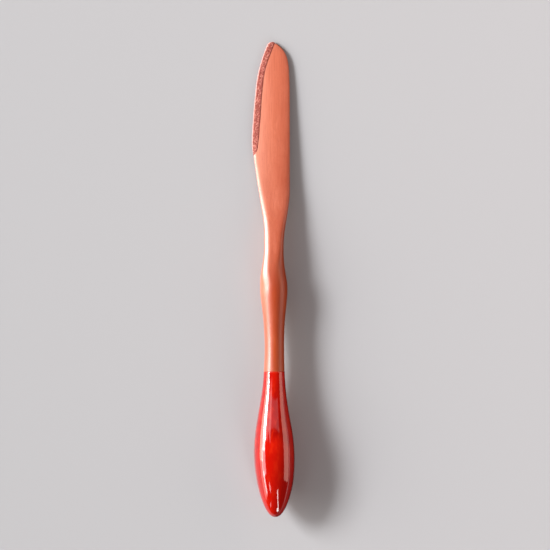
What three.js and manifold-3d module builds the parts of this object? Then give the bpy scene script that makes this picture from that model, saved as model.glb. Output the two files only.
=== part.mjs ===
// A hand-carved wooden paper knife. One blank of wood makes the blade, the neck, the swell and the
// bulbous handle. A glossy coat of lacquer covers the handle's end, and a gritty band wraps the
// blade's cutting edge.
//
// Millimetres. The knife is drawn along +Y from its butt (y = 0) to its tip, with the spine on the +X
// side and its show face up. It is then laid down as it rests on a table: on the bulb and on the tip.

import * as THREE from "three";
import { LoftGeometry } from "three/addons/geometries/LoftGeometry.js";
import { mergeVertices } from "three/addons/utils/BufferGeometryUtils.js";
import Module from "manifold-3d";

const wasm = await Module();
wasm.setup();

const { lerp, smoothstep } = THREE.MathUtils;

// ---- Driving dimensions -------------------------------------------------------------------------

const LENGTH = 230;
const LACQUER_LINE = 70; // the coat covers everything below this
const NECK = 129; // the handle is round up to here, and flattens into the blade above it
const NECK_RADIUS = 4.675;
const BLADE_START = 165; // the section is the blade's own from here to the tip

const COAT = 0.5; // wall of the lacquer coat
const GAP = 0.3; // clearance between two pieces that meet
const BAND_PROUD = 0.4; // how far the band stands out from the wood
const BAND_WALL = 0.6;
const TONGUE_TOP = 0.2; // the thin edge of wood inside the band reaches this far above the mid-plane
const TONGUE_BOTTOM = -0.25; // and this far below it
const WOOD_LENGTH = LENGTH - BAND_PROUD;

const BLADE_POWER = 2.6; // superellipse power of the blade's section: 2 is an ellipse
const SHOULDER_POWER = 5; // the same, for the face's quarter on the edge side where the facet runs
const RIDGE_POWER = 3.5; // and for the face's quarter on the spine side, round the neck
const FACET_ANGLE = THREE.MathUtils.degToRad(29); // fall of the facet towards the edge
const FACET_BLEND = 0.22; // how softly the facet meets the face
const BACK_FLAT = 1.1; // depth of the blade's flat back below the mid-plane
const BACK_FLAT_START = 168;
const BACK_FLAT_RUNOUT = 60; // the flat leaves the section along a parabola of this size

// Plan outline, as [distance from the butt, x]. The wood's own edge; the band stands out from it.
const SPINE_SIDE = [
  [0, 0.5], [2.2, 4.1], [9.9, 7.6], [17.7, 9.35], [28, 9.9], [37, 9.4], [52.6, 6.8], [60, 5.8],
  [70, 5.1], [82, 4.9], [95, 5.3], [104.9, 6.3], [110.5, 6.65], [116.6, 5.8], [122.4, 4.85],
  [NECK, 4.6], [136, 4.95], [143, 6], [150.5, 7.2], [157, 7.7], [205, 7.65], [213, 7.45],
  [219, 7.05], [223.2, 6.05], [226.5, 4], [228.6, 1.7], [WOOD_LENGTH, -0.9],
];
const EDGE_SIDE = [
  [0, 0.5], [2.2, -3], [9.9, -6.55], [17.7, -8.5], [25.4, -9.55], [31, -9.85], [41, -9.15],
  [52.6, -7.25], [60, -5.95], [70, -5.05], [81, -4.6], [93, -5.1], [101, -5.9], [106, -6.65],
  [111, -6.85], [117, -6.6], [122.4, -5.55], [NECK, -4.75], [137, -4.8], [143, -5.15],
  [150.5, -6.4], [160.7, -8.05], [168, -9.1], [176, -10.15], [181, -10.4], [192, -9.85],
  [202, -9.05], [211.6, -7.95], [217.4, -6.75], [223, -5], [227, -3.6], [229, -2.5],
  [WOOD_LENGTH, -0.9],
];

// Half-thickness of the blade above and below the mid-plane, past the neck.
const FACE_HEIGHT = [
  [NECK, NECK_RADIUS], [136, 4.2], [143, 3.2], [150, 2.45], [157, 2], [BLADE_START, 1.75],
  [178, 1.5], [205, 1.2], [225, 0.9], [228.6, 0.7], [WOOD_LENGTH, 0.3],
];
const BACK_DEPTH = [
  [NECK, NECK_RADIUS], [136, 4.2], [143, 3.2], [150, 2.35], [157, 1.8], [BLADE_START, 1.5],
  [178, 1.4], [225, 1.35], [228.6, 1.1], [WOOD_LENGTH, 0.5],
];

// A long facet on the edge side of the face, from the neck to the heel, as [distance from the butt, depth].
const FACET = [
  [107, 0], [112, 0.07], [117, 0.24], [122, 0.33], [129, 0.32], [139, 0.27], [146, 0.21], [153, 0.2],
  [163, 0.16], [172, 0.12], [176, 0.06], [180, 0],
];

// Where the band ends on the blade's face, as [x, distance from the butt]: out over the edge at the
// heel, along the edge, and off the front of the tip.
const BAND_LIMIT = [
  [-12.5, 173.2], [-9.9, 174.5], [-8.3, 177], [-7.6, 181.6], [-6.9, 191], [-5.6, 208], [-4.1, 217.2],
  [-1.8, 223.9], [0, 228.6], [1.1, 231.5],
];

// The handle bows up a little between the bulb and the blade, as [distance from the butt, rise].
const BOW = [
  [0, 0], [30, 0], [80, 1.2], [110, 1.1], [139, 0.45], [BACK_FLAT_START, 0], [WOOD_LENGTH, 0],
];

const PITCH = 2.9; // spacing of the lofted sections away from the ends
const RAMP = 9; // number of sections at each end whose spacing grows from nothing to PITCH
const NOSE = 0.05; // the first and last sections stop this far from the end
const AROUND = 32; // points round a section
const LIMIT_STEPS = 32; // chords along the band's limit
const NUDGE = 1e-3; // step for a surface's slope

// ---- The carved form ----------------------------------------------------------------------------

// Distance along the knife as a number from 0 to 1 that runs evenly round both noses.
const evened = (y) => Math.acos(THREE.MathUtils.clamp(1 - (2 * y) / WOOD_LENGTH, -1, 1));

// A smooth curve through [y, value] points that never overshoots them (Steffen's interpolation).
function smoothThrough(points) {
  const at = points.map(([y]) => evened(y));
  const values = points.map(([, value]) => value);
  const steps = at.slice(1).map((u, i) => u - at[i]);
  const rises = steps.map((step, i) => (values[i + 1] - values[i]) / step);
  const slopes = values.map((_, i) => {
    if (i === 0) return rises[0];
    if (i === rises.length) return rises[i - 1];
    const [before, after] = [rises[i - 1], rises[i]];
    const mean = (before * steps[i] + after * steps[i - 1]) / (steps[i - 1] + steps[i]);
    const size = Math.min(Math.abs(before), Math.abs(after), Math.abs(mean) / 2);
    return (Math.sign(before) + Math.sign(after)) * size;
  });
  return (y) => {
    const u = evened(y);
    let i = 0;
    while (i < steps.length - 1 && u > at[i + 1]) i += 1;
    const t = (u - at[i]) / steps[i];
    const straight = values[i] + t * (values[i + 1] - values[i]);
    const bend = (1 - t) * (slopes[i] - rises[i]) - t * (slopes[i + 1] - rises[i]);
    return straight + t * (1 - t) * steps[i] * bend;
  };
}

const spineSide = smoothThrough(SPINE_SIDE);
const edgeSide = smoothThrough(EDGE_SIDE);
const faceHeight = smoothThrough(FACE_HEIGHT);
const backDepth = smoothThrough(BACK_DEPTH);
const bowAt = smoothThrough(BOW);
const facetDepth = smoothThrough(FACET);

const halfWidthAt = (y) => (spineSide(y) - edgeSide(y)) / 2;
const heightAt = (y) => (y < NECK ? halfWidthAt(y) : faceHeight(y));
const depthAt = (y) => (y < NECK ? halfWidthAt(y) : backDepth(y));
const flatDepthAt = (y) => BACK_FLAT + Math.max(0, BACK_FLAT_START - y) ** 2 / BACK_FLAT_RUNOUT;

const sectionPower = (y) => lerp(2, BLADE_POWER, smoothstep(y, NECK, BLADE_START));

function shoulderPower(y) {
  const share = smoothstep(y, 110, 128) * (1 - smoothstep(y, 171, FACET.at(-1)[0]));
  return lerp(sectionPower(y), SHOULDER_POWER, share);
}

function ridgePower(y) {
  const share = smoothstep(y, 120, 131) * (1 - smoothstep(y, 146, 163));
  return lerp(sectionPower(y), RIDGE_POWER, share);
}

// The height at a point of the face above the mid-plane, once the facet has been planed off.
function facetedHeight(x, y, height) {
  const centre = (spineSide(y) + edgeSide(y)) / 2;
  const inRange = y > FACET[0][0] && y < FACET.at(-1)[0];
  if (!inRange || height <= 0 || x >= centre) return height;
  const depth = facetDepth(y);
  const power = shoulderPower(y);
  const dual = power / (power - 1);
  const [side, top] = [halfWidthAt(y) * Math.sin(FACET_ANGLE), heightAt(y) * Math.cos(FACET_ANGLE)];
  const touching = (side ** dual + top ** dual) ** (1 / dual);
  const facet = (touching - depth + (x - centre) * Math.sin(FACET_ANGLE)) / Math.cos(FACET_ANGLE);
  const blend = FACET_BLEND * smoothstep(depth, 0, FACET_BLEND / 2);
  const near = Math.max(blend - Math.abs(height - facet), 0);
  return Math.min(height, facet) - near ** 2 / (4 * Math.max(blend, NUDGE));
}

// The point of the wood's surface at a distance from the butt and an angle round from the spine.
function woodPoint(y, angle) {
  const across = Math.cos(angle);
  const up = Math.sin(angle);
  const facePower = across < 0 ? shoulderPower(y) : ridgePower(y);
  const power = up > 0 ? facePower : sectionPower(y);
  const reach = (Math.abs(across) ** power + Math.abs(up) ** power) ** (1 / power);
  const centre = (spineSide(y) + edgeSide(y)) / 2;
  const x = centre + (halfWidthAt(y) * across) / reach;
  const height = (up / reach) * (up > 0 ? heightAt(y) : depthAt(y));
  return new THREE.Vector3(x, y, bowAt(y) + facetedHeight(x, y, height));
}

// The same point moved out of the surface by offset, or into it, but never below the flat back.
function surfacePoint(y, angle, offset) {
  const point = woodPoint(y, angle);
  const round = woodPoint(y, angle + NUDGE).sub(woodPoint(y, angle - NUDGE));
  const along = woodPoint(y + NUDGE, angle).sub(woodPoint(y - NUDGE, angle));
  const outward = along.cross(round).normalize();
  point.addScaledVector(outward, offset);
  point.z = Math.max(point.z, -flatDepthAt(y));
  return point;
}

function distanceFromEnd(step) {
  return step < RAMP ? Math.max(NOSE, (PITCH * step ** 2) / (2 * RAMP)) : PITCH * (step - RAMP / 2);
}

// Distances from the butt of all the sections, close together at both ends.
function lengthwiseStations() {
  const middle = WOOD_LENGTH / 2;
  const fromButt = [];
  for (let step = 0; distanceFromEnd(step) < middle; step += 1) fromButt.push(distanceFromEnd(step));
  const fromTip = fromButt.map((distance) => WOOD_LENGTH - distance).reverse();
  return [...fromButt, ...fromTip];
}

const STATIONS = lengthwiseStations();

function stationsBetween(start, end) {
  const first = Math.max(start, NOSE);
  const last = Math.min(end, WOOD_LENGTH - NOSE);
  return [first, ...STATIONS.filter((y) => y > first + NUDGE && y < last - NUDGE), last];
}

// The carved form between two distances from the butt, grown or shrunk by offset.
function carvedForm(start, end, offset) {
  const angles = Array.from({ length: AROUND }, (_, i) => (-2 * Math.PI * i) / AROUND);
  const sections = stationsBetween(start, end).map((y) =>
    angles.map((angle) => surfacePoint(y, angle, offset)),
  );
  return solid(new LoftGeometry(sections, { capStart: true, capEnd: true }));
}

// A flat plate with the blade's plan outline, grown or shrunk by offset.
function bladePlate(offset, bottom, top) {
  const stations = stationsBetween(BLADE_START, WOOD_LENGTH);
  const edge = stations.map((y) => surfacePoint(y, Math.PI, offset));
  const spine = stations.map((y) => surfacePoint(y, 0, offset)).reverse();
  return plate([...edge, ...spine], bottom, top);
}

// Everything on the cutting-edge side of the band's limit, which is first moved inwards by grow.
function bandRegion(grow) {
  const limit = new THREE.SplineCurve(BAND_LIMIT.map(([x, y]) => new THREE.Vector2(x, y)));
  const inner = Array.from({ length: LIMIT_STEPS + 1 }, (_, i) => {
    const along = limit.getTangent(i / LIMIT_STEPS);
    const inwards = new THREE.Vector2(along.y, -along.x);
    return limit.getPoint(i / LIMIT_STEPS).addScaledVector(inwards, grow);
  });
  const farSide = -2 * halfWidthAt(BLADE_START);
  const outside = [new THREE.Vector2(farSide, inner.at(-1).y), new THREE.Vector2(farSide, inner[0].y)];
  const clear = 4 * BACK_FLAT;
  return plate([...inner, ...outside], -clear, clear);
}

// ---- Solids -------------------------------------------------------------------------------------

function solid(geometry) {
  const bare = new THREE.BufferGeometry();
  bare.setAttribute("position", geometry.getAttribute("position"));
  bare.setIndex(geometry.index);
  const merged = mergeVertices(bare);
  const mesh = new wasm.Mesh({
    numProp: 3,
    vertProperties: merged.attributes.position.array,
    triVerts: new Uint32Array(merged.index.array),
  });
  return new wasm.Manifold(mesh);
}

function plate(outline, bottom, top) {
  const shape = new THREE.Shape(outline.map(({ x, y }) => new THREE.Vector2(x, y)));
  const geometry = new THREE.ExtrudeGeometry(shape, { depth: top - bottom, bevelEnabled: false });
  return solid(geometry.translate(0, 0, bottom));
}

function piece(name, body, material) {
  const { numProp, vertProperties, triVerts } = body.getMesh();
  const geometry = new THREE.BufferGeometry();
  geometry.setAttribute("position", new THREE.BufferAttribute(vertProperties, numProp));
  geometry.setIndex(new THREE.BufferAttribute(triVerts, 1));
  const mesh = new THREE.Mesh(geometry, new THREE.MeshStandardMaterial(material));
  mesh.name = name;
  return mesh;
}

// ---- Pieces -------------------------------------------------------------------------------------

// The blank: full size between the coat and the band, and cut back by a gap's width under both.
function woodBody() {
  const bare = carvedForm(LACQUER_LINE + GAP, WOOD_LENGTH, 0);
  const core = carvedForm(0, LACQUER_LINE + PITCH, -COAT - GAP);
  const tongue = bladePlate(BAND_PROUD - BAND_WALL - GAP, TONGUE_BOTTOM, TONGUE_TOP);
  return bare.add(core).subtract(bandRegion(GAP)).add(tongue);
}

// A thin cup over the handle's end, open at the lacquer line.
function lacquerCoat() {
  const outside = carvedForm(0, LACQUER_LINE, 0);
  const inside = carvedForm(0, LACQUER_LINE + PITCH, -COAT);
  return outside.subtract(inside);
}

// A band that wraps the cutting edge like a binding, proud of the face and flush with the flat back.
function edgeBand() {
  const outside = carvedForm(BLADE_START, WOOD_LENGTH, BAND_PROUD).intersect(bandRegion(0));
  const slot = bladePlate(BAND_PROUD - BAND_WALL, TONGUE_BOTTOM - GAP, TONGUE_TOP + GAP);
  return outside.subtract(slot);
}

// ---- Assembly -----------------------------------------------------------------------------------

// Slope of the table against the knife's axis when the knife rests on its bulb and its tip.
function restSlope() {
  const undersideAt = (y) => Math.min(depthAt(y) - bowAt(y), flatDepthAt(y));
  const handle = STATIONS.filter((y) => y < NECK);
  const blade = STATIONS.filter((y) => y > BLADE_START);
  const slopeFrom = (tip) =>
    Math.max(...handle.map((y) => (undersideAt(y) - undersideAt(tip)) / (tip - y)));
  return Math.min(...blade.map(slopeFrom));
}

const knife = new THREE.Group();
knife.add(
  piece("wood_body", woodBody(), { color: 0xdd8062, roughness: 0.38, metalness: 0 }),
  piece("lacquer_coat", lacquerCoat(), { color: 0xc01407, roughness: 0.08, metalness: 0 }),
  piece("edge_band", edgeBand(), { color: 0xc46a5c, roughness: 0.85, metalness: 0 }),
);
knife.rotation.x = -Math.atan(restSlope());
knife.updateMatrixWorld(true);

// The origin is on the table, under the middle of the knife's box.
const box = new THREE.Box3().setFromObject(knife, true);
const middle = box.getCenter(new THREE.Vector3());
knife.position.set(-middle.x, -middle.y, -box.min.z);

const assembly = new THREE.Group();
assembly.add(knife);

export default assembly;
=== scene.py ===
"""A hand-carved wooden ink knife: the fine surface of its three pieces, their looks, and the stage.

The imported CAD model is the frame. Its three nodes are replaced by finer closed meshes of the same
form: the wooden blank, the coat of lacquer over the handle's end, and the gritty band on the cutting
edge.

Shapes are worked out in millimetres along the knife: +Y from the butt (y = 0) to the tip, the spine
on the +X side and the show face up. They are then laid down as the CAD model lies, in metres.
"""

import math

import bpy
import numpy as np
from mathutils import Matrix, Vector, noise


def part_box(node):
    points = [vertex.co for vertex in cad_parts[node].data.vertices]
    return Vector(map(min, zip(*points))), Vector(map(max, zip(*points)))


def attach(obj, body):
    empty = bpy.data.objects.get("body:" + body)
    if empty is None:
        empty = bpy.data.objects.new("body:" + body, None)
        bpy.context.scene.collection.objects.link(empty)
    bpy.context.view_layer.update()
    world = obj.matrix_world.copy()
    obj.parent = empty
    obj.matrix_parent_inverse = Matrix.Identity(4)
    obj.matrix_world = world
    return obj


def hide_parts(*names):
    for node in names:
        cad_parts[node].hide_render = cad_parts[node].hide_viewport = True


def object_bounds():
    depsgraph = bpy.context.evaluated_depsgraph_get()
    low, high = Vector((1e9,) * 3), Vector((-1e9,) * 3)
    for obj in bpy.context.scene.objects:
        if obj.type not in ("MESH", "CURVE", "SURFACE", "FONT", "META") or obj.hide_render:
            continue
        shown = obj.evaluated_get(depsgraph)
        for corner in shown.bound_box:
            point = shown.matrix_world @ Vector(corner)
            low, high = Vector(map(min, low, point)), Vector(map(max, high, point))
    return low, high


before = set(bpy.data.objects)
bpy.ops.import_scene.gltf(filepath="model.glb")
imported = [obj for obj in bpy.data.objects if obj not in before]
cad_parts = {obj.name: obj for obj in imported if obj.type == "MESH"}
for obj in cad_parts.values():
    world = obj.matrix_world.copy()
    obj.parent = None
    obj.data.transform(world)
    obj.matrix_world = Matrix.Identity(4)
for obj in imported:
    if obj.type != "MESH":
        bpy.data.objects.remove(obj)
cad_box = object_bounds()

# ---- Driving dimensions, in millimetres ----------------------------------------------------------

MM = 0.001
WOOD_LENGTH = 229.6
LACQUER_LINE = 70
NECK = 129  # the handle is round up to here, and flattens into the blade above it
BLADE_START = 165
BLADE_POWER = 2.6  # superellipse power of the blade's section: 2 is an ellipse
BACK_FLAT = 1.1  # depth of the blade's flat back below the mid-plane
BACK_FLAT_START = 168
BACK_FLAT_RUNOUT = 60
CREASE = 0.25  # how softly the section turns into the flat back
SHOULDER_POWER = 5  # power of the section's face quarter on the edge side, where the facet runs
SHOULDER_STARTS = (110, 128)  # it comes in between these distances from the butt
SHOULDER_ENDS = (171, 180)  # and goes out between these
RIDGE_POWER = 3.5  # power of the face quarter on the spine side, round the neck
RIDGE_STARTS = (120, 131)
RIDGE_ENDS = (146, 163)
FACET_ANGLE = math.radians(29)  # fall of the facet towards the edge
FACET_BLEND = 0.42  # how softly the facet meets the face
NOSE_ROUNDING = 0.6  # the tip's own thickness rounds off over this length

BUTT_X = 0.5  # both ends lie a little off the middle
TIP_X = -0.9

# Plan outline, as (distance from the butt, x).
SPINE_SIDE = (
    (0, BUTT_X), (2.2, 4.1), (9.9, 7.6), (17.7, 9.35), (28, 9.9), (37, 9.4), (52.6, 6.8), (60, 5.8),
    (70, 5.1), (82, 4.9), (95, 5.3), (104.9, 6.3), (110.5, 6.65), (116.6, 5.8), (122.4, 4.85),
    (NECK, 4.6), (136, 4.95), (143, 6), (150.5, 7.2), (157, 7.7), (205, 7.65), (213, 7.45),
    (219, 7.05), (223.2, 6.05), (226.5, 4), (228.6, 1.7), (WOOD_LENGTH, TIP_X),
)
EDGE_SIDE = (
    (0, BUTT_X), (2.2, -3), (9.9, -6.55), (17.7, -8.5), (25.4, -9.55), (31, -9.85), (41, -9.15),
    (52.6, -7.25), (60, -5.95), (70, -5.05), (81, -4.6), (93, -5.1), (101, -5.9), (106, -6.65),
    (111, -6.85), (117, -6.6), (122.4, -5.55), (NECK, -4.75), (137, -4.8), (143, -5.15),
    (150.5, -6.4), (160.7, -8.05), (168, -9.1), (176, -10.15), (181, -10.4), (192, -9.85),
    (202, -9.05), (211.6, -7.95), (217.4, -6.75), (223, -5), (227, -3.6), (229, -2.5),
    (WOOD_LENGTH, TIP_X),
)

# Half-thickness above and below the mid-plane, past the neck.
FACE_HEIGHT = (
    (NECK, 4.675), (136, 4.2), (143, 3.2), (150, 2.45), (157, 2), (BLADE_START, 1.75), (178, 1.5),
    (205, 1.2), (225, 0.9), (228.6, 0.7), (WOOD_LENGTH, 0.3),
)
BACK_DEPTH = (
    (NECK, 4.675), (136, 4.2), (143, 3.2), (150, 2.35), (157, 1.8), (BLADE_START, 1.5), (178, 1.4),
    (225, 1.35), (228.6, 1.1), (WOOD_LENGTH, 0.5),
)

# Where the band ends on the face, as (x, distance from the butt), from the heel to the tip.
BAND_LIMIT = (
    (-12.5, 173.2), (-9.9, 174.5), (-8.3, 177), (-7.6, 181.6), (-6.9, 191), (-5.6, 208),
    (-4.1, 217.2), (-1.8, 223.9), (0, 228.6), (1.1, 231.5),
)

# A long facet on the edge side of the face, from the swell to the heel, as (distance from the butt,
# depth).
FACET = (
    (107, 0), (112, 0.07), (117, 0.24), (122, 0.33), (NECK, 0.32), (139, 0.27), (146, 0.21),
    (153, 0.2), (163, 0.16), (172, 0.12), (176, 0.06), (SHOULDER_ENDS[1], 0),
)

# The handle bows up a little between the bulb and the blade, as (distance from the butt, rise).
BOW = (
    (0, 0), (30, 0), (80, 1.2), (110, 1.1), (139, 0.45), (BACK_FLAT_START, 0), (WOOD_LENGTH, 0),
)

# ---- The carved form -----------------------------------------------------------------------------

NOSE = 0.05  # the CAD model's sections start and end this far from its ends
SAMPLES = 6000  # steps of each profile along the knife
BLUR = 0.022  # standard deviation of the profiles' smoothing, in the evened distance


def evened(y):
    """Distance along the knife as an angle from 0 to pi that runs evenly round both noses."""
    return np.arccos(np.clip(1 - 2 * np.asarray(y, float) / WOOD_LENGTH, -1, 1))


def spaced(start, end, count):
    """Distances along the knife in even steps between two such angles."""
    return WOOD_LENGTH * (1 - np.cos(np.linspace(start, end, count))) / 2


def round_angles(count):
    """Angles of a section's points, as a row."""
    return (np.arange(count) * 2 * math.pi / count)[None, :]


EVEN = np.linspace(0, math.pi, SAMPLES + 1)
ALONG = spaced(0, math.pi, SAMPLES + 1)


def through(points):
    """A curve through (distance, value) points that never overshoots them, at every sample."""
    places = evened([y for y, _ in points])
    values = np.array([value for _, value in points], float)
    steps = np.diff(places)
    rises = np.diff(values) / steps
    before, after = rises[:-1], rises[1:]
    mean = (before * steps[1:] + after * steps[:-1]) / (steps[:-1] + steps[1:])
    size = np.minimum(np.minimum(abs(before), abs(after)), abs(mean) / 2)
    inner = (np.sign(before) + np.sign(after)) * size
    slopes = np.concatenate(([rises[0]], inner, [rises[-1]]))
    i = np.clip(np.searchsorted(places[1:], EVEN), 0, len(steps) - 1)
    t = (EVEN - places[i]) / steps[i]
    bend = (1 - t) * (slopes[i] - rises[i]) - t * (slopes[i + 1] - rises[i])
    return values[i] + t * (values[i + 1] - values[i]) + t * (1 - t) * steps[i] * bend


def blurred(values):
    """Values on the loop from the butt to the tip and back, smoothed so that gloss shows no kinks."""
    turns = np.fft.rfftfreq(len(values), 1 / len(values))
    return np.fft.irfft(np.fft.rfft(values) * np.exp(-0.5 * (BLUR * turns) ** 2), len(values))


def loop(out, back):
    """Samples of one side to the tip, then of the other side back to the butt."""
    return np.concatenate((out, back[-2:0:-1]))


def mirrored(values):
    """Samples smoothed as if they were the same on both sides."""
    return blurred(loop(values, values))[: SAMPLES + 1]


outline = blurred(loop(through(SPINE_SIDE), through(EDGE_SIDE)))
spine_x = outline[: SAMPLES + 1]
edge_x = np.concatenate((outline[:1], outline[: SAMPLES - 1 : -1]))
half_width = (spine_x - edge_x) / 2
centre = (spine_x + edge_x) / 2


def thickness(points):
    """Half-thickness at every sample: the half width of the round handle, then the blade's own."""
    values = np.where(ALONG < NECK, half_width, through(points))
    smooth = blurred(loop(values, -values))[: SAMPLES + 1]
    smooth = np.where(ALONG < WOOD_LENGTH / 2, smooth, mirrored(values))
    nearness = np.clip((ALONG - WOOD_LENGTH) / NOSE_ROUNDING + 1, 0, 1)
    return smooth * np.sqrt(1 - nearness**2)


face_height = thickness(FACE_HEIGHT)
back_depth = thickness(BACK_DEPTH)
bow = mirrored(through(BOW))
on_facet = (ALONG > FACET[0][0]) & (ALONG < FACET[-1][0])
facet_depth = mirrored(np.where(on_facet, through(FACET), 0))


def at(samples, y):
    """The value of a sampled profile at distances from the butt."""
    return np.interp(evened(y), EVEN, samples)


def smoothstep(value, low, high):
    """0 up to low, 1 from high on, and a soft rise between them."""
    t = np.clip((value - low) / (high - low), 0, 1)
    return t * t * (3 - 2 * t)


def power_at(y):
    """Superellipse power of the section: an ellipse in the handle, squarer in the blade."""
    return 2 + (BLADE_POWER - 2) * smoothstep(y, NECK, BLADE_START)


def stretch_power_at(y, power, starts, ends):
    """The section's power, drawn to another one along a stretch of the knife."""
    share = smoothstep(y, *starts) * (1 - smoothstep(y, *ends))
    return power_at(y) + (power - power_at(y)) * share


def shoulder_power_at(y):
    return stretch_power_at(y, SHOULDER_POWER, SHOULDER_STARTS, SHOULDER_ENDS)


def ridge_power_at(y):
    return stretch_power_at(y, RIDGE_POWER, RIDGE_STARTS, RIDGE_ENDS)


def flat_at(y):
    """Height of the flat back, which runs out under the neck along a parabola."""
    return -BACK_FLAT - np.maximum(0, BACK_FLAT_START - y) ** 2 / BACK_FLAT_RUNOUT


def planed(points):
    """Points cut off at the flat back, with a soft crease. Changes them in place."""
    z, flat = points[..., 2], flat_at(points[..., 1])
    near = np.maximum(CREASE - abs(z - flat), 0) / CREASE
    points[..., 2] = np.maximum(z, flat) + near**2 * CREASE / 4
    return points


def faceted(x, y, z):
    """Heights once the facet on the face's edge side has been planed off."""
    depth = at(facet_depth, y)
    power = shoulder_power_at(y)
    dual = power / (power - 1)
    fall, rise = math.sin(FACET_ANGLE), math.cos(FACET_ANGLE)
    side, top = at(half_width, y) * fall, at(face_height, y) * rise
    touching = (side**dual + top**dual) ** (1 / dual)
    across = x - at(centre, y)
    facet = (touching - depth + across * fall) / rise
    blend = np.maximum(FACET_BLEND * smoothstep(depth, 0, FACET_BLEND / 2), 1e-3)
    near = np.maximum(blend - abs(z - facet), 0)
    cut = np.minimum(z, facet) - near**2 / (4 * blend)
    return np.where((z > 0) & (across < 0) & (depth > 1e-3), cut, z)


def form(y, angle):
    """Points of the carved form at distances from the butt and angles round from the spine side."""
    y, angle = np.broadcast_arrays(np.asarray(y, float), angle)
    across, up = np.cos(angle), np.sin(angle)
    face_power = np.where(across < 0, shoulder_power_at(y), ridge_power_at(y))
    power = np.where(up > 0, face_power, power_at(y))
    reach = (abs(across) ** power + abs(up) ** power) ** (1 / power)
    x = at(centre, y) + at(half_width, y) * across / reach
    z = up / reach * np.where(up > 0, at(face_height, y), at(back_depth, y))
    return np.stack((x, y, at(bow, y) + faceted(x, y, z)), axis=-1)


def grown(points, offset):
    """A closed grid of rings moved out along its own normals."""
    along = np.gradient(points, axis=0)
    around = np.roll(points, -1, axis=1) - np.roll(points, 1, axis=1)
    outward = np.cross(along, around)
    outward /= np.linalg.norm(outward, axis=-1, keepdims=True)
    return points + outward * offset


# ---- From the knife's own frame to the CAD model's -----------------------------------------------


def rest_slope():
    """Angle between the knife's axis and the table when it lies on its bulb and its tip."""
    under = np.minimum(back_depth - bow, -flat_at(ALONG))
    handle = (ALONG > 1) & (ALONG < NECK)
    best = math.inf
    for tip in np.flatnonzero((ALONG > BLADE_START) & (ALONG < WOOD_LENGTH - NOSE)):
        run = ALONG[tip] - ALONG[handle]
        best = min(best, float(np.max((under[handle] - under[tip]) / run)))
    return math.atan(best)


TILT = rest_slope()


def tilted(points):
    """Points turned about X, so that the knife's axis takes its slope to the table."""
    x, y, z = np.moveaxis(points, -1, 0)
    lean = (y * math.cos(TILT) + z * math.sin(TILT), z * math.cos(TILT) - y * math.sin(TILT))
    return np.stack((x, *lean), axis=-1)


def resting_place():
    """Where the knife's own origin lies, in millimetres, from the box of the CAD lacquer coat."""
    stations = np.linspace(NOSE, LACQUER_LINE, 400)[:, None]
    own = tilted(planed(form(stations, round_angles(64)))).reshape(-1, 3)
    low, high = (np.array(corner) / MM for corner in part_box("lacquer_coat"))
    return (low - own.min(axis=0) + high - own.max(axis=0)) / 2


PLACE = resting_place()


def laid_down(points):
    """Points of the knife's own frame in the CAD model's, in metres."""
    return (tilted(points) + PLACE) * MM


# ---- Meshes --------------------------------------------------------------------------------------


def tube_faces(rows, columns):
    """Quads between closed rings, and the fans that close both ends on the two last vertices."""
    index = np.arange(rows * columns).reshape(rows, columns)
    beside = np.roll(index, -1, axis=1)
    quads = np.stack((index[:-1], index[1:], beside[1:], beside[:-1]), axis=-1).reshape(-1, 4)
    start = np.stack((beside[0], np.full(columns, rows * columns), index[0]), axis=-1)
    end = np.stack((index[-1], np.full(columns, rows * columns + 1), beside[-1]), axis=-1)
    return quads.tolist() + start.tolist() + end.tolist()


def linked(name, data):
    """A new object in the scene."""
    made = bpy.data.objects.new(name, data)
    bpy.context.scene.collection.objects.link(made)
    return made


def tube(name, rings, ends):
    """A closed mesh of rings between two end points, as an object in the CAD model's frame."""
    rows, columns = rings.shape[:2]
    points = laid_down(np.concatenate((rings.reshape(-1, 3), np.array(ends, float))))
    faces = tube_faces(rows, columns)
    if signed_volume(points, faces) < 0:
        faces = [face[::-1] for face in faces]
    mesh = bpy.data.meshes.new(name)
    mesh.from_pydata(points.tolist(), [], faces)
    mesh.polygons.foreach_set("use_smooth", np.ones(len(mesh.polygons), dtype=bool))
    mesh.update()
    return linked(name, mesh)


def signed_volume(points, faces):
    """Six times the volume inside the faces, below zero where they face inwards."""
    first_halves = [face[:3] for face in faces]
    second_halves = [[face[0], face[2], face[3]] for face in faces if len(face) == 4]
    a, b, c = (points[corner] for corner in np.array(first_halves + second_halves).T)
    return float(np.einsum("ij,ij->i", a, np.cross(b, c)).sum())


def stored(piece, name, values):
    """A value for every vertex of a piece, for its material to read."""
    layer = piece.data.attributes.new(name, "FLOAT", "POINT")
    layer.data.foreach_set("value", np.asarray(values, dtype=np.float32))


def undulation(points, reach, height, seed):
    """A gentle unevenness at points: noise with cells reach long along the knife, finer across."""
    stretch = np.array((3.0, 1.0, 3.0)) / reach
    flat = points.reshape(-1, 3) * stretch + seed
    values = [noise.noise(Vector(point)) for point in flat.tolist()]
    return height * np.array(values).reshape(points.shape[:-1] + (1,))


# ---- The wooden blank ----------------------------------------------------------------------------

WOOD_INSET = 0.07  # the bare wood lies this far inside the CAD form, under the lacquer's lip
CORE_INSET = 0.45  # and this far under the lacquer
CORE_RISE = (66, 69.2)  # the core comes up to the bare wood between these distances
LINE_INSET = 0.05  # and lies this much deeper until it meets the lip
WOOD_ROUND = 120  # points round the knife
WOOD_ROWS = 660
WOOD_START = 0.02  # first and last ring, as angles from each end in the evened distance
WOOD_END = 0.012
CARVING = 0.03  # height of the tool's unevenness in the wood
CARVING_REACH = 16


def wood_inset(y):
    """How far the wood lies inside the CAD form."""
    under_lacquer = (CORE_INSET - WOOD_INSET) * (1 - smoothstep(y, *CORE_RISE))
    return WOOD_INSET + under_lacquer + LINE_INSET * (1 - smoothstep(y, CORE_RISE[1], LACQUER_LINE))


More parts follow.
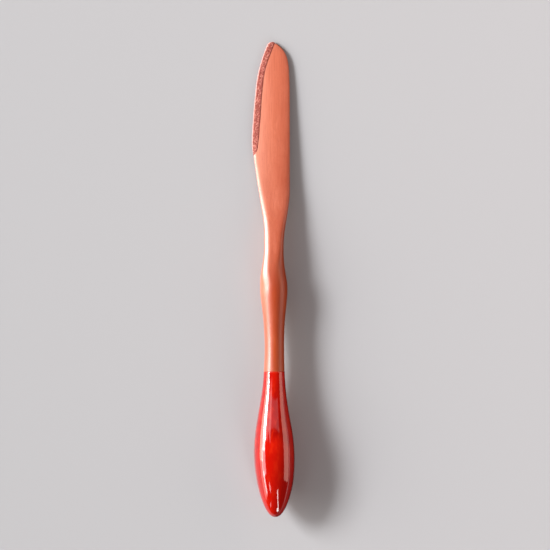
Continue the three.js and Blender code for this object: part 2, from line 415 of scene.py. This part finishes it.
def wood_body():
    """The whole blank, from its butt inside the lacquer to the tip."""
    stations = spaced(WOOD_START, math.pi - WOOD_END, WOOD_ROWS)[:, None]
    points = form(stations, round_angles(WOOD_ROUND))
    carving = undulation(points, CARVING_REACH, CARVING, seed=7.3) - CARVING / 2
    rings = planed(grown(points, -wood_inset(stations)[..., None] + carving))
    butt = (BUTT_X, CORE_INSET, 0)
    tip = (at(centre, WOOD_LENGTH), WOOD_LENGTH - WOOD_INSET, rings[-1, :, 2].mean())
    return tube("carved_wood", rings, (butt, tip))


# ---- The lacquer ---------------------------------------------------------------------------------

LACQUER_ROUND = 128
LACQUER_OUTER_ROWS = 300
LACQUER_INNER_ROWS = 70
SKIN = 0.01  # the gloss lies this far inside the CAD form
WALL = 0.3
LIP_WALL = 0.065
WALL_THINS = (64, 68.6)  # the wall thins to its lip between these distances
FLOW = 0.02  # height of the waves left by a brushed coat
FLOW_REACH = 26
FLOW_FADE = 0.5  # the waves die out over this length before the line
LIP_ROUND = 0.12  # length and drop of the lip's rounding
LIP_DROP = 0.03


def lacquer_coat():
    """A cup: its outside from the butt to the line, a rounded lip, and its inside back to the butt."""
    first, last = evened(NOSE), evened(LACQUER_LINE)
    outer_y = spaced(first, last, LACQUER_OUTER_ROWS)[:, None]
    inner_y = spaced(last, first, LACQUER_INNER_ROWS)[:, None]
    angles = round_angles(LACQUER_ROUND)
    outer = form(outer_y, angles)
    waves = undulation(outer, FLOW_REACH, FLOW, seed=2.1) - FLOW / 2
    fade = 1 - smoothstep(outer_y, LACQUER_LINE - FLOW_FADE, LACQUER_LINE)[..., None]
    lip = LIP_DROP * smoothstep(outer_y, LACQUER_LINE - LIP_ROUND, LACQUER_LINE)[..., None] ** 2
    outer = grown(outer, waves * fade - SKIN - lip)
    wall = WALL - (WALL - LIP_WALL) * smoothstep(inner_y, *WALL_THINS)[..., None]
    inner = grown(form(inner_y[::-1], angles), -wall[::-1])[::-1]
    rings = np.concatenate((outer, inner))
    return tube("lacquer", rings, ((BUTT_X, NOSE, 0), (BUTT_X, NOSE + WALL, 0)))


# ---- The band on the cutting edge ----------------------------------------------------------------

BAND_ROWS = 480
BAND_OUTER = 76  # points of a section over its outside, from its limit on the face to that on the back
BAND_INNER = 20
BAND_HEIGHT = 0.33  # how far the band stands out from the CAD form at the edge, without its grit
BAND_THINS = (0.2, 0.8)  # it thins to half between these turns, away from the edge
BAND_FOOT = 0.02 - WOOD_INSET  # the band's foot lies just above the wood
BAND_CROWDING = 2.2  # a section's points crowd towards the edge by this power
LIP_RUN = 0.22  # the band's inner side slopes up over this width
LIP_FULLNESS = 0.7  # by this power
HEEL_RUN = 4.5  # the band rises to its full height over this length from the heel
HEEL_HEIGHT = 0.25  # share of its height at the heel
STRAY = 0.1  # how far its border wanders
GRIT = 0.1  # height of the grit's crests
GRIT_SLANT = 0.55  # slope of the grit's own two axes against the knife's
GRIT_ACROSS = 0.9  # how fine it is along each of them
GRIT_ALONG = 1.25
PEBBLES = 1.5  # how fine its pebbles, its ridges and its sand are
RIDGES = 0.62
SAND = 4.3


def catmull_rom(points, count):
    """Points along a uniform Catmull-Rom curve through points."""
    points = np.array(points, float)
    t = np.linspace(0, len(points) - 1, count)
    i = np.minimum(t.astype(int), len(points) - 2)
    t = (t - i)[:, None]
    p0, p1, p2, p3 = (points[np.clip(i + k, 0, len(points) - 1)] for k in (-1, 0, 1, 2))
    v1, v2 = (p2 - p0) / 2, (p3 - p1) / 2
    cubic = 2 * p1 - 2 * p2 + v1 + v2
    square = 3 * p2 - 3 * p1 - 2 * v1 - v2
    return cubic * t**3 + square * t**2 + v1 * t + p1


def even_steps(path, count):
    """count points evenly along a path of points, and the path's length."""
    reach = np.concatenate(([0], np.cumsum(np.linalg.norm(np.diff(path, axis=0), axis=1))))
    wanted = np.linspace(0, reach[-1], count)
    return np.stack([np.interp(wanted, reach, path[:, k]) for k in range(2)], axis=-1), reach[-1]


def share_across(plan):
    """How far from the middle line plan points lie: 1 on the outline."""
    x, y = plan[..., 0], plan[..., 1]
    return abs(x - at(centre, y)) / np.maximum(at(half_width, y), 1e-6)


def band_borders(count):
    """The outline and the band's limit between the two places where they cross, in even steps."""
    limit = catmull_rom(BAND_LIMIT, SAMPLES)
    within = np.flatnonzero((share_across(limit) < 1) & (limit[:, 1] < WOOD_LENGTH))
    limit = limit[within[0] : within[-1] + 1]
    heel, end = limit[0, 1], limit[-1, 1]
    out = ALONG > heel
    back = ALONG > end
    edge = np.stack((edge_x[out], ALONG[out]), axis=-1)
    spine_shade = np.stack((spine_x[back], ALONG[back]), axis=-1)[::-1]
    return even_steps(np.concatenate((edge, spine_shade)), count), even_steps(limit, count)


def section_normal(points):
    """Outward normal of the blade's form at points on it."""

    def level(p):
        x, y, z = np.moveaxis(p, -1, 0)
        y = np.minimum(y, WOOD_LENGTH - 1e-4)
        tall = np.where(z > 0, at(face_height, y), at(back_depth, y))
        across = abs(x - at(centre, y)) / np.maximum(at(half_width, y), 1e-4)
        return across**BLADE_POWER + abs(z / np.maximum(tall, 1e-3)) ** BLADE_POWER

    step = 0.02
    slope = [level(points + step * axis) - level(points - step * axis) for axis in np.eye(3)]
    outward = np.stack(slope, axis=-1)
    return outward / np.maximum(np.linalg.norm(outward, axis=-1, keepdims=True), 1e-9)


def band_section(outline_points, limit_points, turn):
    """Points of the form under the band, and the turn of each.

    turn runs from 1 at the band's limit on the face, over 0 at the edge, to -1 on the back.
    """
    share = abs(turn)[None, :, None] ** BAND_CROWDING
    plan = outline_points[:, None, :] + (limit_points - outline_points)[:, None, :] * share
    x, y = plan[..., 0], plan[..., 1]
    tall = np.where(turn > 0, at(face_height, y), -at(back_depth, y))
    power = np.where(turn > 0, shoulder_power_at(y), BLADE_POWER)
    z = tall * np.maximum(1 - np.minimum(share_across(plan), 1) ** power, 0) ** (1 / power)
    return np.stack((x, y, faceted(x, y, z)), axis=-1), np.broadcast_to(turn, x.shape)


def grit_at(points):
    """Pebbled grit from -1 to 1, drawn out on a slant across the band."""
    heights = []
    for x, y, z in points.reshape(-1, 3).tolist():
        across = (x + GRIT_SLANT * y) * GRIT_ACROSS
        along = (y - GRIT_SLANT * x) * GRIT_ALONG
        slanted = Vector((across, along, z))
        pebble = 1 - 2.2 * noise.voronoi(slanted * PEBBLES)[0][0]
        ridge = noise.noise(slanted * RIDGES + Vector((3.1, 0, 9.7)))
        sand = noise.noise(Vector((x, y, z)) * SAND)
        heights.append(0.55 * pebble + 0.55 * ridge + 0.3 * sand)
    return np.clip(np.array(heights), -1, 1).reshape(points.shape[:-1])


def wandering(rim, limit, steps):
    """The limit, drawn a little nearer to the rim or further from it as it goes along."""

    def waves(fineness, seed):
        return np.array([noise.noise(Vector((fineness * step, seed, 0))) for step in steps])

    wander = waves(0.55, seed=1.7) + 0.6 * waves(1.7, seed=5.2)
    width = np.linalg.norm(limit - rim, axis=1)
    stray = STRAY * wander * np.clip(width - 0.3, 0, 1)
    return limit + (rim - limit) / np.maximum(width, 1e-6)[:, None] * stray[:, None]


def edge_band():
    """A closed ring of sections: the gritty outside, and an inside that follows the wood."""
    (rim, rim_length), (limit, _) = band_borders(BAND_ROWS + 2)
    steps = np.linspace(0, rim_length, BAND_ROWS + 2)[1:-1]
    rim = rim[1:-1]
    limit = wandering(rim, limit[1:-1], steps)
    width = np.linalg.norm(limit - rim, axis=1)[:, None]

    turn = np.linspace(1, -1, BAND_OUTER)
    outside, turns = band_section(rim, limit, turn)
    from_lip = (1 - abs(turn)[None, :] ** BAND_CROWDING) * width
    lip = smoothstep(from_lip, 0, LIP_RUN) ** LIP_FULLNESS
    heel = HEEL_HEIGHT + (1 - HEEL_HEIGHT) * smoothstep(steps, 0, HEEL_RUN)[:, None]
    grit = grit_at(outside)
    thinner = 1 - smoothstep(abs(turn), *BAND_THINS)[None, :] / 2
    height = BAND_HEIGHT * heel * lip * thinner + GRIT * grit * lip * np.minimum(width, 1)
    raised = np.where(lip > 0, height, BAND_FOOT)
    outer = planed(outside + section_normal(outside) * raised[..., None])

    inner, _ = band_section(rim, limit, np.linspace(-1, 1, BAND_INNER + 2)[1:-1])
    inner = planed(inner + section_normal(inner) * BAND_FOOT)
    rings = np.concatenate((outer, inner), axis=1)
    piece = tube("gritty_band", rings, (rings[0].mean(axis=0), rings[-1].mean(axis=0)))
    for name, values, elsewhere in (("grit", grit, 0), ("from_lip", from_lip, 0), ("turn", turns, 1)):
        unseen = np.full(inner.shape[:2], elsewhere)
        everywhere = np.concatenate((values, unseen), axis=1).ravel()
        stored(piece, name, [*everywhere, elsewhere, elsewhere])
    return piece


# ---- Materials -----------------------------------------------------------------------------------


class Nodes:
    """A material's node tree, built in short calls."""

    def __init__(self, name):
        self.material = bpy.data.materials.new(name)
        self.material.use_nodes = True
        self.tree = self.material.node_tree
        self.shader = self.tree.nodes["Principled BSDF"]

    def node(self, kind, links=None, **settings):
        """A new node, its inputs put as links says, by name or number."""
        made = self.tree.nodes.new("ShaderNode" + kind)
        for key, value in settings.items():
            setattr(made, key, value)
        for key, value in (links or {}).items():
            self.put(made, key, value)
        return made

    def put(self, node, key, value):
        """Links a socket to a node's input, or gives the input a value."""
        if isinstance(value, bpy.types.NodeSocket):
            self.tree.links.new(value, node.inputs[key])
        else:
            node.inputs[key].default_value = value

    def coordinates(self, scale=(1, 1, 1), offset=(0, 0, 0), turn=0.0):
        """Coordinates along the knife's own axes, in units of 1 / scale millimetres."""
        where = self.node("TexCoord").outputs["Object"]
        upright = self.node("Mapping", {"Vector": where, "Rotation": (TILT, 0, turn)})
        links = {"Vector": upright.outputs[0], "Scale": [s / MM for s in scale], "Location": offset}
        return self.node("Mapping", links).outputs[0]

    def noise(self, scale, detail=2.0, roughness=0.5, distortion=0.0, offset=(0, 0, 0), turn=0.0):
        links = {
            "Vector": self.coordinates(scale, offset, turn), "Scale": 1.0, "Detail": detail,
            "Roughness": roughness, "Distortion": distortion,
        }
        return self.node("TexNoise", links).outputs["Fac"]

    def position(self):
        """Distances in millimetres across, along and up the knife, from the CAD model's origin."""
        return self.node("SeparateXYZ", {"Vector": self.coordinates()}).outputs

    def ramp(self, value, low, high, to_low=0.0, to_high=1.0):
        """A smooth step of a value that runs from low to high."""
        links = {
            "Value": value, "From Min": low, "From Max": high, "To Min": to_low, "To Max": to_high,
        }
        return self.node("MapRange", links, interpolation_type="SMOOTHSTEP").outputs[0]

    def math(self, operation, a, b=0.0):
        made = self.node("Math", operation=operation)
        self.put(made, 0, a)
        self.put(made, 1, b)
        return made.outputs[0]

    def mix(self, share, a, b, blend="MIX"):
        """Colour a, drawn towards colour b by a share."""
        made = self.node("Mix", data_type="RGBA", blend_type=blend)
        for key, value in (("Factor_Float", share), ("A_Color", a), ("B_Color", b)):
            socket = next(s for s in made.inputs if s.identifier == key)
            if isinstance(value, bpy.types.NodeSocket):
                self.tree.links.new(value, socket)
            elif key == "Factor_Float":
                socket.default_value = value
            else:
                socket.default_value = (*value, 1)
        return next(s for s in made.outputs if s.identifier == "Result_Color")

    def tinted(self, colour, value, run, shares, tint):
        """The colour drawn towards a tint, by a share that changes while the value runs."""
        return self.mix(self.ramp(value, *run, *shares), colour, linear(*tint))

    def attribute(self, name):
        return self.node("Attribute", attribute_name=name).outputs["Fac"]

    def bump(self, height, distance):
        """A bump of that height in millimetres."""
        return self.node("Bump", {"Height": height, "Distance": distance * MM}).outputs[0]

    def finish(self, **inputs):
        """The material, once the shader has its inputs."""
        for key, value in inputs.items():
            self.put(self.shader, key.replace("_", " "), value)
        return self.material


def linear(red, green, blue):
    """An sRGB colour given from 0 to 255, as linear light."""

    def one(value):
        value /= 255
        return value / 12.92 if value <= 0.04045 else ((value + 0.055) / 1.055) ** 2.4

    return one(red), one(green), one(blue)


def wood_material():
    """Fine-grained reddish wood, oiled to a satin gloss."""
    m = Nodes("oiled_wood")
    mottle = m.noise((0.11, 0.028, 0.11), 3, 0.55, 0.6)
    patches = m.noise((0.3, 0.1, 0.3), 3, 0.6, 0.8, (2, 6, 1))
    streaks = m.noise((1.15, 0.022, 1.15), 4, 0.6, 0.25, (4, 0, 9))
    fibres = m.noise((2.6, 0.07, 2.6), 3, 0.65, 0.0, (1, 7, 3))
    pores = m.noise((9.0, 0.55, 9.0), 1, 0.4, 0.0, (8, 2, 5))
    across, along, _ = m.position()
    blade = m.tinted(linear(186, 86, 52), mottle, (0.35, 0.68), (0, 1), (200, 106, 76))
    blade = m.tinted(blade, patches, (0.5, 0.68), (0, 0.3), (224, 134, 106))
    blade = m.tinted(blade, patches, (0.5, 0.34), (0, 0.35), (182, 77, 43))
    blade = m.tinted(blade, streaks, (0.4, 0.72), (0, 0.35), (194, 93, 65))
    handle = m.tinted(linear(166, 58, 12), mottle, (0.35, 0.68), (0, 1), (186, 76, 26))
    handle = m.tinted(handle, streaks, (0.4, 0.72), (0, 0.5), (174, 66, 26))
    ragged_along = m.math("ADD", along, m.math("MULTIPLY", mottle, 10))
    in_blade = m.ramp(ragged_along, -2, 32)
    colour = m.mix(in_blade, handle, blade)
    colour = m.tinted(colour, ragged_along, (48, 90), (0, 0.34), (232, 136, 104))
    ragged_across = m.math("ADD", across, m.math("MULTIPLY", patches, 5))
    # Paler towards the edge side, which faces the window: a painted sheen.
    colour = m.tinted(colour, ragged_across, (-6, 4), (0.5, 0), (236, 156, 132))
    # Darker towards the spine, the side turned from the window: painted shade.
    spine_shade = m.math("MULTIPLY", in_blade, m.ramp(ragged_across, 3.5, 8.5, 0, 0.32))
    colour = m.mix(spine_shade, colour, linear(174, 66, 33))
    colour = m.tinted(colour, fibres, (0.34, 0.56), (0.24, 0), (168, 66, 34))
    pore = m.ramp(pores, 0.66, 0.76)
    colour = m.mix(m.math("MULTIPLY", pore, 0.4), colour, linear(140, 58, 38))
    gloss = m.ramp(streaks, 0.3, 0.7, 0.42, 0.5)
    rough = m.math("ADD", gloss, m.math("MULTIPLY", pore, 0.15))
    grain = m.math("SUBTRACT", m.math("MULTIPLY", fibres, 0.5), pore)
    return m.finish(
        Base_Color=colour,
        Roughness=rough,
        Normal=m.bump(grain, 0.012),
        Specular_IOR_Level=0.5,
        Coat_Weight=0.7,
        Coat_Roughness=0.3,
    )


def lacquer_material():
    """A deep glossy red, darker towards the butt as painted shade, with a thin orange film where the
    coat ends.
    """
    m = Nodes("red_gloss_lacquer")
    cloud = m.noise((0.05, 0.03, 0.05), 2, 0.5, 0.4)
    blush = m.noise((0.42, 0.2, 0.42), 2, 0.55, 0.6, (3, 8, 2))
    along = m.position()["Y"]
    butt, line = (laid_down(np.array((0.0, y, 0.0)))[1] / MM for y in (0.0, LACQUER_LINE))
    from_butt = m.math("SUBTRACT", along, butt)
    from_line = m.math("SUBTRACT", line, along)
    colour = m.tinted(linear(162, 5, 1), cloud, (0.38, 0.62), (0, 1), (204, 20, 3))
    colour = m.tinted(colour, blush, (0.46, 0.72), (0, 0.3), (236, 56, 18))
    # Darker towards the butt, where the bulb turns away from the light: painted shade.
    colour = m.tinted(colour, from_butt, (16, 40), (0.5, 0), (138, 1, 0))
    colour = m.tinted(colour, from_line, (0, 1.6), (0.35, 0), (214, 60, 18))
    dust = m.noise((0.9, 0.9, 0.9), 2, 0.5)
    ripple = m.noise((0.16, 0.09, 0.16), 1, 0.4, 0.0, (5, 5, 5))
    return m.finish(
        Base_Color=colour,
        Roughness=m.ramp(dust, 0.35, 0.7, 0.06, 0.1),
        Normal=m.bump(ripple, 0.02),
        Specular_IOR_Level=0.5,
        Coat_Weight=1.0,
        Coat_Roughness=0.02,
    )


def band_material():
    """Dusty red filled coat: paler on its crests and darker in its pits, with a painted highlight
    along its rim and painted shade at its lip.
    """
    m = Nodes("gritty_coat")
    grit = m.attribute("grit")
    turn = m.attribute("turn")
    rim = m.math("MULTIPLY", m.ramp(turn, -0.06, 0.1), m.ramp(turn, 0.2, 0.42, 1, 0))
    speck = m.noise((3.6, 3.6, 3.6), 3, 0.65)
    clump = m.noise((2.0, 1.1, 2.0), 3, 0.65, 0.4, (6, 1, 4), 0.6)
    # Darker in the grit's pits and paler on its crests: painted shade and light over the grit's own
    # relief.
    colour = m.tinted(linear(124, 40, 31), grit, (-0.5, 0.6), (0, 1), (174, 82, 68))
    colour = m.tinted(colour, clump, (0.51, 0.61), (0, 0.75), (226, 152, 136))
    colour = m.tinted(colour, clump, (0.48, 0.36), (0, 0.75), (112, 34, 30))
    colour = m.tinted(colour, speck, (0.5, 0.64), (0, 0.6), (204, 123, 107))
    colour = m.tinted(colour, speck, (0.5, 0.36), (0, 0.6), (102, 30, 27))
    # A pale line along the rim, broken in patches: a painted highlight where the rounded edge meets
    # the window light.
    rim_highlight = m.math("MULTIPLY", rim, m.ramp(clump, 0.36, 0.58, 0.4, 0.75))
    colour = m.mix(rim_highlight, colour, linear(236, 184, 176))
    # Darker up the band's inner lip, where it steps down to the wood: painted shade.
    colour = m.tinted(colour, m.attribute("from_lip"), (0.03, LIP_RUN), (0.25, 0), (150, 56, 34))
    fine = m.noise((5.5, 5.5, 5.5), 3, 0.7, 0.0, (2, 2, 2))
    return m.finish(
        Base_Color=colour,
        Roughness=m.ramp(speck, 0.3, 0.7, 0.92, 0.62),
        Normal=m.bump(fine, 0.05),
        Specular_IOR_Level=0.4,
    )


# ---- Pieces --------------------------------------------------------------------------------------


def place(piece, node, material):
    piece.data.materials.append(material)
    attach(piece, "root")
    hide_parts(node)


place(wood_body(), "wood_body", wood_material())
place(lacquer_coat(), "lacquer_coat", lacquer_material())
place(edge_band(), "edge_band", band_material())

# ---- Stage ---------------------------------------------------------------------------------------

# The stage is in metres.
FLOOR_HALF = 1.6
FLOOR_COLOUR = (0.45, 0.45, 0.465)
FLOOR_FALL = 2.23  # the floor gets this many times darker over each metre towards the window
FLOOR_EVEN_FROM = 0.15  # and stays even past this distance on the other side
CARD_START = 0.003
CARD_END = 0.1
CARD_HALF = 0.3
CARD_LIFT = 0.0002
LIGHT_DISTANCE = 2.5
WORLD_COLOUR = (0.95, 0.97, 1.0, 1)
WORLD_LIGHT = 0.025
BACKDROP = 0.6  # the world's strength where the camera sees it

# The lights round the knife, as (azimuth from +X towards +Y, elevation, width, height, radiance and
# colour): angles in degrees, sizes as shares of the distance.
SOFTBOXES = {
    "window": (159.5, 29.7, 0.41, 0.25, 47),
    "sheer": (175.5, 29, 0.15, 0.25, 11),
    "curtain": (188.5, 26, 0.31, 0.4, 3.8),
    "window_head": (159, 43.5, 0.28, 0.2, 2.2),
    "skylight": (150, 60, 0.22, 0.26, 1.4),
    "window_foot": (167, 17, 0.75, 0.24, 5.4, (1, 0.93, 0.82)),
    "sill": (167, 5.2, 0.75, 0.17, 5, (1, 0.88, 0.7)),
    "curtain_foot": (200, 11, 0.45, 0.36, 2.2, (1, 0.93, 0.84)),
    "far_wall": (0, 17, 0.6, 0.56, 2, (1, 0.67, 0.56)),
    "far_corner": (40, 18, 0.6, 0.5, 2, (1, 0.58, 0.44)),
    "ceiling": (91, 64, 1.4, 0.43, 0.5),
    "low_pane": (204, 22, 0.3, 0.11, 8),
    "high_pane": (221, 46.5, 0.16, 0.12, 3.4),
    "post": (232, 26, 0.05, 0.26, 3),
    "doorway": (297, 34, 0.085, 0.82, 8),
    "doorway_foot": (289, 23, 0.13, 0.26, 12),
}

low, high = (Vector(corner) for corner in cad_box)
middle = (low + high) / 2


def sheet(name, start, end, height):
    """A level rectangle between two corners, facing up."""
    (left, near), (right, far) = start, end
    corners = [(left, near, height), (right, near, height), (right, far, height), (left, far, height)]
    mesh = bpy.data.meshes.new(name)
    mesh.from_pydata(corners, [], [(0, 1, 2, 3)])
    return linked(name, mesh)


def floor():
    """A pale table, darker towards the window so that it looks even from every side."""
    plane = sheet("floor", (-FLOOR_HALF, -FLOOR_HALF), (FLOOR_HALF, FLOOR_HALF), 0)
    m = Nodes("floor")
    across = m.node("SeparateXYZ", {"Vector": m.node("TexCoord").outputs["Object"]}).outputs["X"]
    shade = m.math("POWER", FLOOR_FALL, m.math("MINIMUM", across, FLOOR_EVEN_FROM))
    colour = m.mix(1.0, FLOOR_COLOUR, shade, "MULTIPLY")
    plane.data.materials.append(m.finish(Base_Color=colour, Roughness=0.9, Specular_IOR_Level=0))


def black_card():
    """Takes the pale floor's glare off the foot of the knife's shaded side.

    The camera and the lights pass it by. Only light that goes on down from the knife meets it.
    """
    card = sheet("black_card", (CARD_START, -CARD_HALF), (CARD_END, CARD_HALF), CARD_LIFT)
    card.visible_camera = False
    card.visible_shadow = False
    m = Nodes("black_card")
    card.data.materials.append(m.finish(Base_Color=(0.03, 0.03, 0.03, 1), Roughness=0.9))
    below = m.node("NewGeometry").outputs["Backfacing"]
    clear = m.node("BsdfTransparent").outputs[0]
    one_sided = m.node("MixShader", {0: below, 1: m.shader.outputs[0], 2: clear})
    m.put(m.tree.nodes["Material Output"], "Surface", one_sided.outputs[0])


def softbox(name, azimuth, elevation, width, height, radiance, colour=(1, 1, 1)):
    """A rectangular light that faces the knife and that the camera doesn't see."""
    azimuth, elevation = math.radians(azimuth), math.radians(elevation)
    flat = math.cos(elevation)
    towards = Vector((flat * math.cos(azimuth), flat * math.sin(azimuth), math.sin(elevation)))
    light = bpy.data.lights.new(name, "AREA")
    light.shape = "RECTANGLE"
    light.size = width * LIGHT_DISTANCE
    light.size_y = height * LIGHT_DISTANCE
    light.color = colour
    light.energy = radiance * math.pi * light.size * light.size_y
    made = linked(name, light)
    made.location = middle + towards * LIGHT_DISTANCE
    made.rotation_euler = (-towards).to_track_quat("-Z", "Y").to_euler()
    made.visible_camera = False


def surroundings():
    """A faint even light, and a pale backdrop where the camera sees past the floor."""
    world = bpy.data.worlds.new("surroundings")
    world.use_nodes = True
    nodes, links = world.node_tree.nodes, world.node_tree.links
    background = nodes["Background"]
    background.inputs["Color"].default_value = WORLD_COLOUR
    strength = nodes.new("ShaderNodeMapRange")
    strength.inputs["To Min"].default_value = WORLD_LIGHT
    strength.inputs["To Max"].default_value = BACKDROP
    links.new(nodes.new("ShaderNodeLightPath").outputs["Is Camera Ray"], strength.inputs["Value"])
    links.new(strength.outputs[0], background.inputs["Strength"])
    bpy.context.scene.world = world


def stage():
    floor()
    for name, settings in SOFTBOXES.items():
        softbox(name, *settings)
    black_card()
    surroundings()
    bpy.context.scene.view_settings.view_transform = "Standard"


FRAME_HEIGHT = 264.9 * MM  # what the picture takes in, at the knife's height
LENS = 150.0
SENSOR = 36.0
SHIFT_UP = 0.0062  # the knife lies this share of the frame below and left of its middle
SHIFT_LEFT = 0.0033


def camera():
    """Looks straight down on the knife."""
    data = bpy.data.cameras.new("camera")
    data.lens = LENS
    data.sensor_width = SENSOR
    data.clip_start = 0.01
    distance = FRAME_HEIGHT * LENS / SENSOR
    made = linked("camera", data)
    made.location = middle + Vector((SHIFT_LEFT * FRAME_HEIGHT, SHIFT_UP * FRAME_HEIGHT, distance))
    bpy.context.scene.camera = made


stage()
camera()
